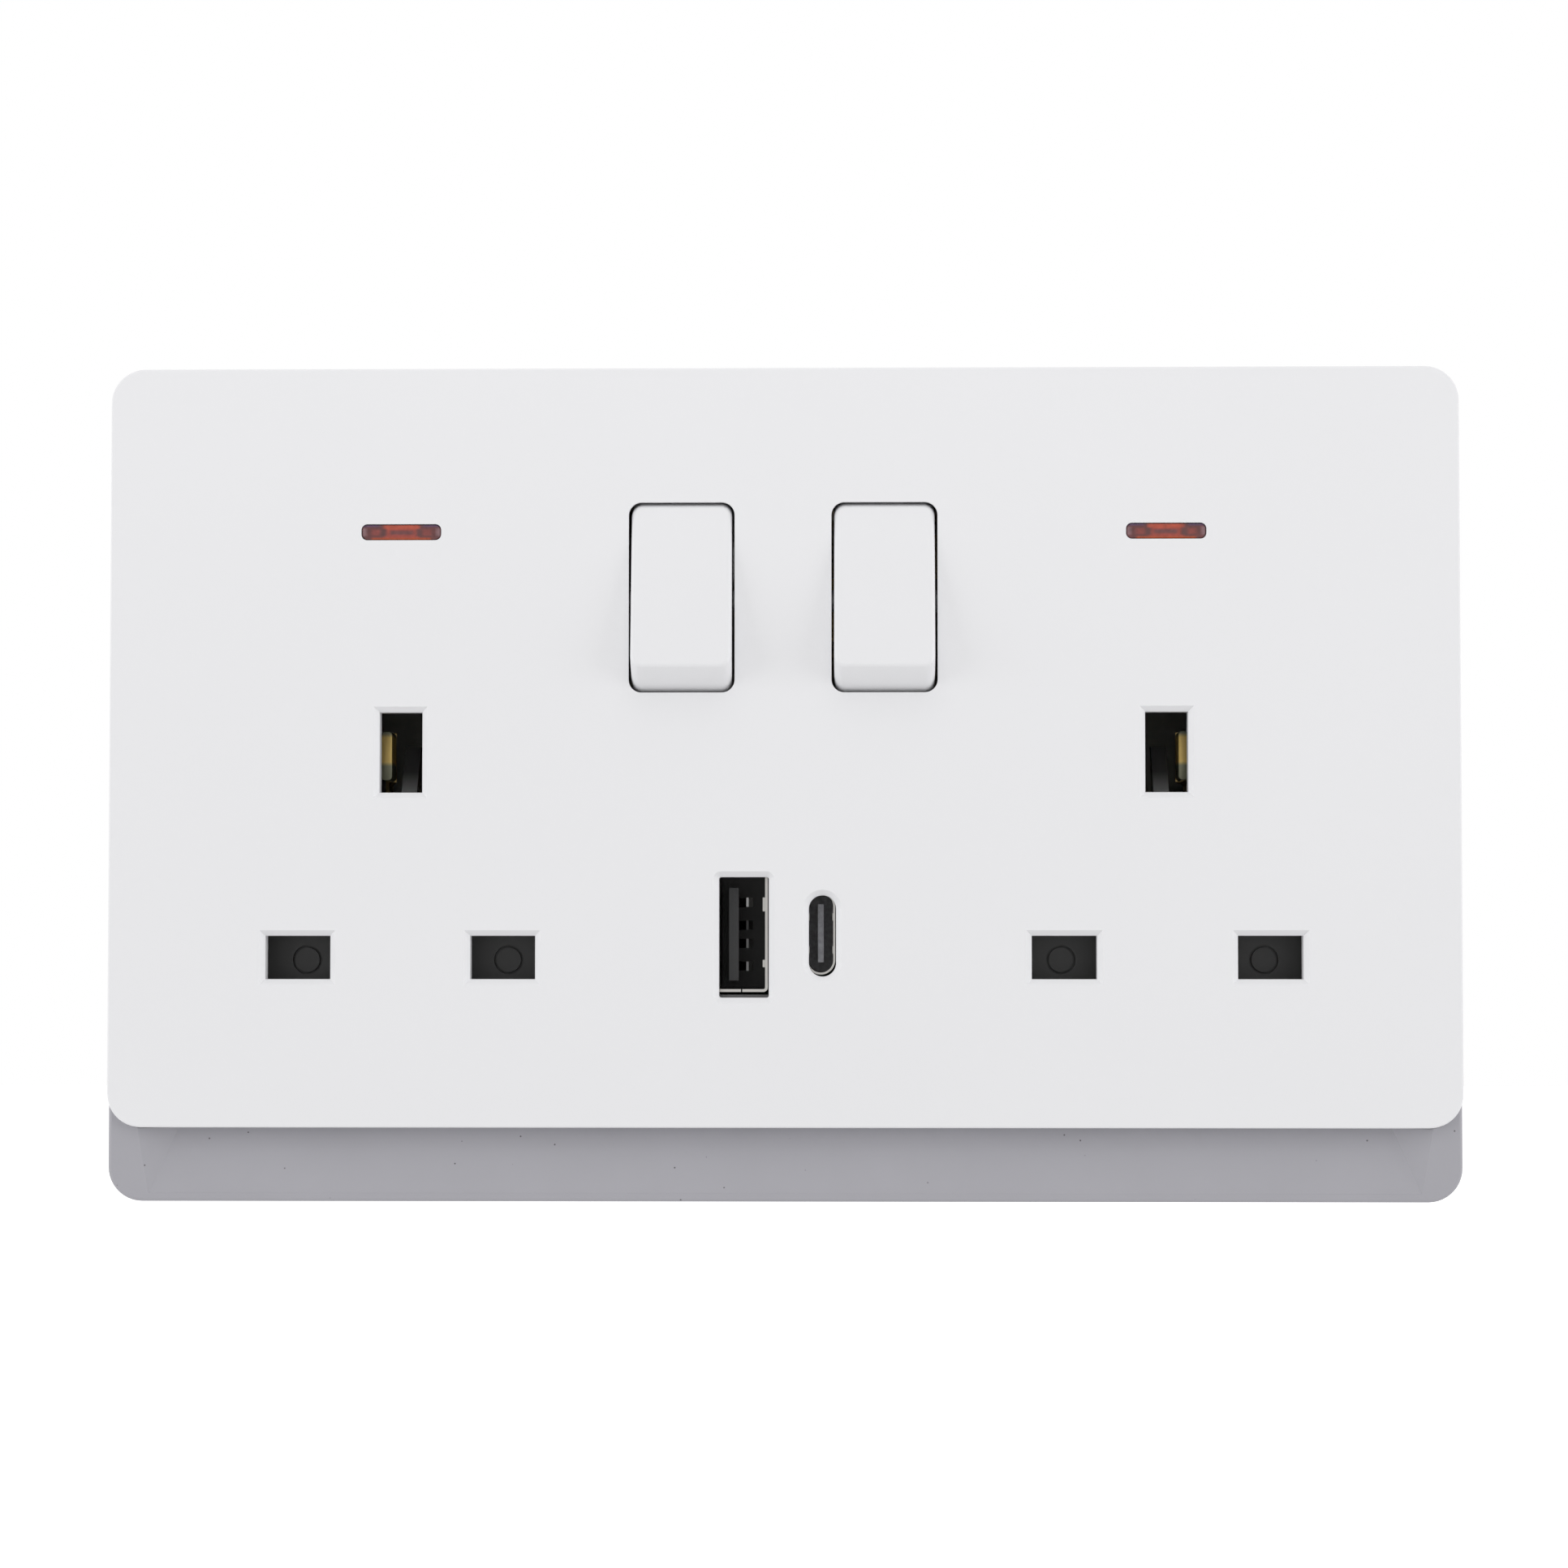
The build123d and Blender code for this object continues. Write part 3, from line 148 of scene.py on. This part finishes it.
matt_grey = moulded("matt_grey", (0.36, 0.355, 0.385), roughness=0.55, drift=0.04, patch=120, grain=0.2)
tree = matt_grey.node_tree
flecks = tree.nodes.new("ShaderNodeTexVoronoi")
flecks.inputs["Scale"].default_value = 1 / fleck_apart
tree.links.new(own_place(tree), flecks.inputs["Vector"])
fleck = share(tree, flecks.outputs["Distance"], fleck_radius / fleck_apart, fleck_core / fleck_apart)
lay_over(matt_grey, fleck_dark, fleck)
wear(matt_grey, "mounting_frame")

# Neon strips
# Each lens is a tinted clear moulding pushed into the plate from behind, over a small glass lamp.
# The lamp shows through it as a dark core between two leads, with a lighter red above and below. Its top
# corners carry painted violet shade, and its two ends thin painted highlight lines.


def coordinate(tree, axis):
    """One coordinate of each point in its piece's own frame."""
    split = tree.nodes.new("ShaderNodeSeparateXYZ")
    tree.links.new(own_place(tree), split.inputs["Vector"])
    return split.outputs[axis]


def product(tree, first, second):
    """Two factors multiplied."""
    both = tree.nodes.new("ShaderNodeMath")
    both.operation = "MULTIPLY"
    tree.links.new(first, both.inputs[0])
    tree.links.new(second, both.inputs[1])
    return both.outputs[0]


def band(tree, value, low, high, fade):
    """A factor of 1 while a value lies between low and high, fading to 0 past them."""
    return product(tree, share(tree, value, low - fade, low), share(tree, value, high + fade, high))


lens_skin = 0.0004
lens_points = [point.co for point in nodes["neon_lens_right"].data.vertices]
lens_front = min(point.y for point in lens_points)
lens_face = [point for point in lens_points if point.y < lens_front + lens_skin]
lens_inner = min(point.x for point in lens_face)
lens_outer = max(point.x for point in lens_face)
lens_foot = min(point.z for point in lens_face)
lens_top = max(point.z for point in lens_face)

neon_red = moulded("neon_red", (0.115, 0.032, 0.032), roughness=0.22, drift=0.3, patch=900)
tree = neon_red.node_tree
sideways = tree.nodes.new("ShaderNodeMath")
sideways.operation = "ABSOLUTE"
tree.links.new(coordinate(tree, "X"), sideways.inputs[0])
along = share(tree, sideways.outputs[0], lens_inner, lens_outer)
up = share(tree, coordinate(tree, "Z"), lens_foot, lens_top)

# Each field has its ends along the lens and its edges up the lens, as shares of them, and its colour.
before = -1
beyond = 2
glow_red = (0.29, 0.048, 0.033)
rim_red = (0.38, 0.06, 0.03)
end_red = (0.2, 0.042, 0.036)
lead_dark = (0.1, 0.032, 0.032)
core_dark = (0.14, 0.04, 0.04)
foot_orange = (0.36, 0.055, 0.01)
corner_painted_shade = (0.075, 0.032, 0.08)
tip_painted_highlight = (0.22, 0.12, 0.13)
lens_fields = (
    ((0.3, 0.7), (before, beyond), glow_red),
    ((0.3, 0.68), (0.75, 0.9), rim_red),
    ((0.15, 0.23), (0.35, 0.6), end_red),
    ((0.78, 0.85), (0.35, 0.6), end_red),
    ((0.26, 0.29), (0.3, 0.65), lead_dark),
    ((0.71, 0.74), (0.3, 0.65), lead_dark),
    ((0.37, 0.62), (0.4, 0.54), core_dark),
    ((0.15, 0.85), (before, 0.06), foot_orange),
    # Painted shade: darker violet at the two top corners.
    ((before, 0.2), (0.92, beyond), corner_painted_shade),
    ((0.8, beyond), (0.92, beyond), corner_painted_shade),
    # Painted highlights: thin pale lines at the two ends.
    ((0.025, 0.03), (0.3, 0.7), tip_painted_highlight),
    ((0.97, 0.975), (0.3, 0.7), tip_painted_highlight),
)
end_fade = 0.05
edge_fade = 0.14
for ends, edges, colour in lens_fields:
    field = product(tree, band(tree, along, *ends, end_fade), band(tree, up, *edges, edge_fade))
    lay_over(neon_red, colour, field)

speckle_scale = 1800
speckle_depth = 0.4
speckle = tree.nodes.new("ShaderNodeTexNoise")
speckle.inputs["Scale"].default_value = speckle_scale
speckle_range = tree.nodes.new("ShaderNodeMapRange")
speckle_range.inputs["To Min"].default_value = 1 - speckle_depth
speckle_range.inputs["To Max"].default_value = 1 + speckle_depth
mottled = tree.nodes.new("ShaderNodeMixRGB")
mottled.blend_type = "MULTIPLY"
mottled.inputs["Fac"].default_value = 1
lens_base = tree.nodes["Principled BSDF"].inputs["Base Color"]
tree.links.new(own_place(tree), speckle.inputs["Vector"])
tree.links.new(speckle.outputs["Fac"], speckle_range.inputs["Value"])
tree.links.new(lens_base.links[0].from_socket, mottled.inputs["Color1"])
tree.links.new(speckle_range.outputs["Result"], mottled.inputs["Color2"])
tree.links.new(mottled.outputs["Color"], lens_base)
wear(neon_red, "neon_lens_left", "neon_lens_right")
lamp_glass = moulded("lamp_glass", (0.75, 0.6, 0.5), roughness=0.1, drift=0.1, patch=300)
wear(lamp_glass, "neon_lamp_left", "neon_lamp_right")

# Deck, shutters and rear tub
# The dark deck carries the working parts, and the plain white tub is screwed on behind.
# The dark shutters slide on the deck behind the slots, and the lighter band below each ramp is painted
# light.
matt_dark = moulded("matt_dark", (0.2, 0.2, 0.2), roughness=0.6, drift=0.1, patch=150, grain=0.2)
wear(matt_dark, "socket_deck")

ramp_tall = 0.0058
ramp_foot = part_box("shutter_left")[1][2] - ramp_tall
painted_light_low = ramp_foot - ramp_tall
painted_light_fade = ramp_tall / 2
drawn_down = (1, 1, 0.3)
shutter_dark = moulded(
    "shutter_dark",
    (0.084, 0.084, 0.084),
    roughness=0.5,
    drift=0.15,
    patch=300,
    grain=0.1,
    stretch=drawn_down,
)
tree = shutter_dark.node_tree
# Painted light: a lighter grey band below each ramp's foot stands for light reaching into the slot.
ramp_painted_light = band(tree, coordinate(tree, "Z"), painted_light_low, ramp_foot, painted_light_fade)
lay_over(shutter_dark, (0.42, 0.42, 0.42), ramp_painted_light)
wear(shutter_dark, "shutter_left", "shutter_right")
tub_white = moulded("tub_white", (0.7, 0.7, 0.69), roughness=0.5, drift=0.03, patch=60, grain=0.2)
wear(tub_white, "rear_housing")

# Brass
# Contacts, bars and terminals are pressed from rolled brass strip.
# The rolling leaves faint streaks along the strip, and the brass has a little tarnish.


def metal(name, colour, roughness, drift, patch, stretch=(1, 1, 1)):
    """A bare or plated metal."""
    finish = moulded(name, colour, roughness, drift, patch, stretch=stretch)
    finish.node_tree.nodes["Principled BSDF"].inputs["Metallic"].default_value = 1
    return finish


rolled = (0.2, 1, 1)
brass = metal("pressed_brass", (0.62, 0.47, 0.22), roughness=0.45, drift=0.15, patch=300, stretch=rolled)
wear(brass, "earth_strap", "neutral_bar", "live_bar")
wear(brass, "live_contact_left", "live_contact_right", "moving_contact_left", "moving_contact_right")

# Earth lips
# The front edge of the outer leaf in each earth slot is turned out into a rounded lip, where the pin enters.
# It is the leaf's own brass, painted dull as painted shade with a golden band of painted highlight across
# its middle, and the left one has sprung a little wider.


def pick(piece, kind, fits):
    """Selects the edges or faces of a piece in edit mode that fit a test."""
    bpy.ops.mesh.select_all(action="DESELECT")
    mesh = bmesh.from_edit_mesh(piece.data)
    for part in getattr(mesh, kind):
        if fits(part):
            part.select_set(True)
    bmesh.update_edit_mesh(piece.data)


lip_reach = 0.0035
lip_width = 0.0011
lip_thick = 0.0004
lip_corner = 0.0005
lip_corner_steps = 6
lip_rim = 0.00012
lip_rim_steps = 3
lip_spread = {"left": 0.00019, "right": 0}
leaf_skin = 0.0002
strap_points = [point.co for point in nodes["earth_strap"].data.vertices]
strap_front = min(point.y for point in strap_points)
leaf_edge = [point for point in strap_points if point.y < strap_front + leaf_skin]
leaf_outer = max(point.x for point in leaf_edge)
leaf_foot = min(point.z for point in leaf_edge)
leaf_top = max(point.z for point in leaf_edge)
leaf_tall = leaf_top - leaf_foot
lip_inner = leaf_outer - lip_width
lip_front = strap_front - lip_reach

highlight_low_share = 0.38
highlight_high_share = 0.87
highlight_fade_share = 0.08
highlight_low = leaf_foot + highlight_low_share * leaf_tall
highlight_high = leaf_foot + highlight_high_share * leaf_tall
highlight_fade = highlight_fade_share * leaf_tall
# Painted light: the lip is painted dull as painted shade, with a golden band laid over it as a painted
# highlight.
lip_painted_light_brass = moulded("lip_painted_light_brass", (0.3, 0.3, 0.21), roughness=0.5, drift=0.2, patch=900)
tree = lip_painted_light_brass.node_tree
tree.nodes["Principled BSDF"].inputs["Metallic"].default_value = 0.75
lay_over(lip_painted_light_brass, (0.85, 0.62, 0.22), band(tree, coordinate(tree, "Z"), highlight_low, highlight_high, highlight_fade))

facing = 0.9


def runs_back(edge):
    """Whether an edge runs from the front of the lip to its back."""
    return abs(edge.verts[0].co.y - edge.verts[1].co.y) > lip_thick / 2


def rims_front(edge):
    """Whether an edge goes round the front face of the lip."""
    return edge.is_manifold and sum(face.normal.y < -facing for face in edge.link_faces) == 1


for side, hand in ((-1, "left"), (1, "right")):
    lip_outer = leaf_outer + lip_spread[hand]
    centre = (side * (lip_outer + lip_inner) / 2, lip_front + lip_thick / 2, (leaf_foot + leaf_top) / 2)
    bpy.ops.object.select_all(action="DESELECT")
    bpy.ops.mesh.primitive_cube_add(size=1, location=centre)
    lip = bpy.context.object
    lip.name = f"earth_lip_{hand}"
    lip.scale = (lip_outer - lip_inner, lip_thick, leaf_tall)
    bpy.ops.object.transform_apply(location=True, rotation=False, scale=True)
    bpy.ops.object.mode_set(mode="EDIT")
    pick(lip, "edges", runs_back)
    bpy.ops.mesh.bevel(offset=lip_corner, segments=lip_corner_steps)

    # The stem joins the inner edge of the lip to the leaf behind it.
    stem_x = side * (lip_inner + lip_thick)
    bpy.ops.mesh.select_all(action="SELECT")
    bpy.ops.mesh.bisect(plane_co=(stem_x, 0, 0), plane_no=(1, 0, 0))
    pick(
        lip,
        "faces",
        lambda face: face.normal.y > facing and side * face.calc_center_median().x < side * stem_x,
    )
    bpy.ops.mesh.extrude_region_move(TRANSFORM_OT_translate={"value": (0, lip_reach - lip_thick, 0)})
    pick(lip, "edges", rims_front)
    bpy.ops.mesh.bevel(offset=lip_rim, segments=lip_rim_steps)
    bpy.ops.object.mode_set(mode="OBJECT")
    bpy.ops.object.shade_smooth_by_angle()
    lip.data.materials.append(lip_painted_light_brass)
    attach(lip, "fixture")

# Screws and springs
# Fasteners are zinc plated steel, and the springs are drawn wire.
# Each shutter spring stands on a ledge of the deck, and a welded, smoothed copy of it stands fixed in place
# of the part.
zinc_plate = metal("zinc_plate", (0.6, 0.6, 0.6), roughness=0.35, drift=0.1, patch=400)
wear(zinc_plate, "terminal_screws", "deck_screws", "housing_screws")
drawn_wire = metal("drawn_wire", (0.5, 0.5, 0.5), roughness=0.3, drift=0.1, patch=800)
wear(drawn_wire, "plunger_spring_left", "plunger_spring_right")
wear(drawn_wire, "shutter_spring_left", "shutter_spring_right")

weld_distance = 0.000001
for hand in ("left", "right"):
    coil = f"shutter_spring_{hand}"
    spring = bpy.data.objects.new(f"return_spring_{hand}", nodes[coil].data.copy())
    bpy.context.scene.collection.objects.link(spring)
    bpy.ops.object.select_all(action="DESELECT")
    spring.select_set(True)
    bpy.context.view_layer.objects.active = spring
    bpy.ops.object.mode_set(mode="EDIT")
    bpy.ops.mesh.select_all(action="SELECT")
    bpy.ops.mesh.remove_doubles(threshold=weld_distance)
    bpy.ops.object.mode_set(mode="OBJECT")
    bpy.ops.object.shade_smooth_by_angle()
    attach(spring, "fixture")
    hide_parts(coil)
    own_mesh(spring)

# Charging ports and their board
# Each port is a folded steel shell round a moulded tongue, soldered to a green board behind the deck.
# The board has a wound transformer and two aluminium capacitors.
folded = (1, 0.2, 1)
shell_steel = metal("shell_steel", (0.45, 0.44, 0.42), roughness=0.3, drift=0.05, patch=300, stretch=folded)
wear(shell_steel, "usb_a_shell", "usb_c_shell")
tongue_dark = moulded("tongue_dark", (0.023, 0.023, 0.024), roughness=0.5, drift=0.15, patch=400, grain=0.1)
wear(tongue_dark, "usb_a_insulator")
tongue_grey = moulded("tongue_grey", (0.27, 0.27, 0.29), roughness=0.5, drift=0.5, patch=2400, grain=0.1)
wear(tongue_grey, "usb_c_insulator")

# The four contacts of the larger port, from the lowest up, are painted to different brightness, as painted
# light and shade for how each catches the light.
contact_painted_light = (0.13, 0.09, 0.035, 0.26)
contact_fade = 0.0002
height_digits = 5
contact_points = [point.co for point in nodes["usb_a_contacts"].data.vertices]
contact_edges = sorted({round(point.z, height_digits) for point in contact_points})
contact_plate = metal("contact_plate", (0.15, 0.145, 0.135), roughness=0.4, drift=0.4, patch=350)
tree = contact_plate.node_tree
height = coordinate(tree, "Z")
for low, high, painted_level in zip(contact_edges[::2], contact_edges[1::2], contact_painted_light):
    lay_over(contact_plate, (painted_level, painted_level, painted_level), band(tree, height, low, high, contact_fade))
wear(contact_plate, "usb_a_contacts")

board_green = moulded("board_green", (0.02, 0.13, 0.05), roughness=0.35, drift=0.4, patch=300)
wear(board_green, "usb_board")
ferrite = moulded("ferrite_black", (0.05, 0.05, 0.055), roughness=0.6, drift=0.3, patch=900, grain=0.3)
wear(ferrite, "transformer")
can = metal("can_aluminium", (0.62, 0.62, 0.64), roughness=0.3, drift=0.05, patch=300, stretch=folded)
wear(can, "capacitors")

# Studio
# A pale floor lies well below the socket, in a white room with soft lamps at both sides and overhead.
# The floor and the room look white from the camera, in mirrors and through glass.


def looked_at(tree):
    """A factor of 1 for what the camera, a mirror or a clear piece shows, and 0 for what only lights."""
    path = tree.nodes.new("ShaderNodeLightPath")
    mirrored = tree.nodes.new("ShaderNodeMath")
    mirrored.operation = "MAXIMUM"
    shown = tree.nodes.new("ShaderNodeMath")
    shown.operation = "MAXIMUM"
    tree.links.new(path.outputs["Is Glossy Ray"], mirrored.inputs[0])
    tree.links.new(path.outputs["Is Transmission Ray"], mirrored.inputs[1])
    tree.links.new(path.outputs["Is Camera Ray"], shown.inputs[0])
    tree.links.new(mirrored.outputs[0], shown.inputs[1])
    return shown.outputs[0]


white = (1, 1, 1, 1)
floor_size = 12
floor_level = -0.25
floor_light = 0.6
bpy.ops.object.select_all(action="DESELECT")
bpy.ops.mesh.primitive_plane_add(size=floor_size, location=(0, 0, floor_level))
floor = bpy.context.object
floor.name = "studio_floor"
floor_white = moulded("floor_white", (0.85, 0.85, 0.85), roughness=0.9, drift=0.01, patch=5)
tree = floor_white.node_tree
floor_shader = tree.nodes["Principled BSDF"]
floor_shader.inputs["Emission Color"].default_value = white
floor_glow = tree.nodes.new("ShaderNodeMath")
floor_glow.operation = "MULTIPLY"
floor_glow.inputs[1].default_value = floor_light
tree.links.new(looked_at(tree), floor_glow.inputs[0])
tree.links.new(floor_glow.outputs[0], floor_shader.inputs["Emission Strength"])
floor.data.materials.append(floor_white)

room_light = 0.755
backdrop_light = 1
world = bpy.data.worlds.new("white_room")
bpy.context.scene.world = world
world.use_nodes = True
sky = world.node_tree
room = sky.nodes["Background"]
room.inputs["Color"].default_value = white
room.inputs["Strength"].default_value = room_light
backdrop = sky.nodes.new("ShaderNodeBackground")
backdrop.inputs["Color"].default_value = white
backdrop.inputs["Strength"].default_value = backdrop_light
mix = sky.nodes.new("ShaderNodeMixShader")
sky.links.new(looked_at(sky), mix.inputs["Fac"])
sky.links.new(room.outputs[0], mix.inputs[1])
sky.links.new(backdrop.outputs[0], mix.inputs[2])
sky.links.new(mix.outputs[0], sky.nodes["World Output"].inputs["Surface"])


def softbox(name, place, size, power):
    """A square soft lamp aimed at the socket."""
    lamp = bpy.data.lights.new(name, "AREA")
    lamp.size = size
    lamp.energy = power
    box = bpy.data.objects.new(name, lamp)
    bpy.context.scene.collection.objects.link(box)
    box.location = place
    box.rotation_euler = (-Vector(place)).to_track_quat("-Z", "Y").to_euler()


softbox("left_softbox", (-0.5, -0.2, 0.02), size=0.3, power=0.7)
softbox("right_softbox", (0.5, -0.2, 0.02), size=0.3, power=0.7)
softbox("overhead_softbox", (0, -0.15, 0.22), size=0.2, power=0.13)

# Camera
# It stands in front of the socket, level with the charging ports and a little to the right.
# It looks up and to the left by a degree or two, as in the photograph.
camera_place = (0.00835, -0.43, -0.0175)
camera_up = 0.0414
camera_left = 0.0196
camera_data = bpy.data.cameras.new("camera")
camera_data.sensor_width = 36
camera_data.lens = 89.33
camera_data.clip_start = 0.01
camera = bpy.data.objects.new("camera", camera_data)
bpy.context.scene.collection.objects.link(camera)
camera.location = camera_place
camera.rotation_euler = (math.pi / 2 + camera_up, 0, camera_left)
bpy.context.scene.camera = camera
bpy.context.scene.view_settings.view_transform = "Standard"
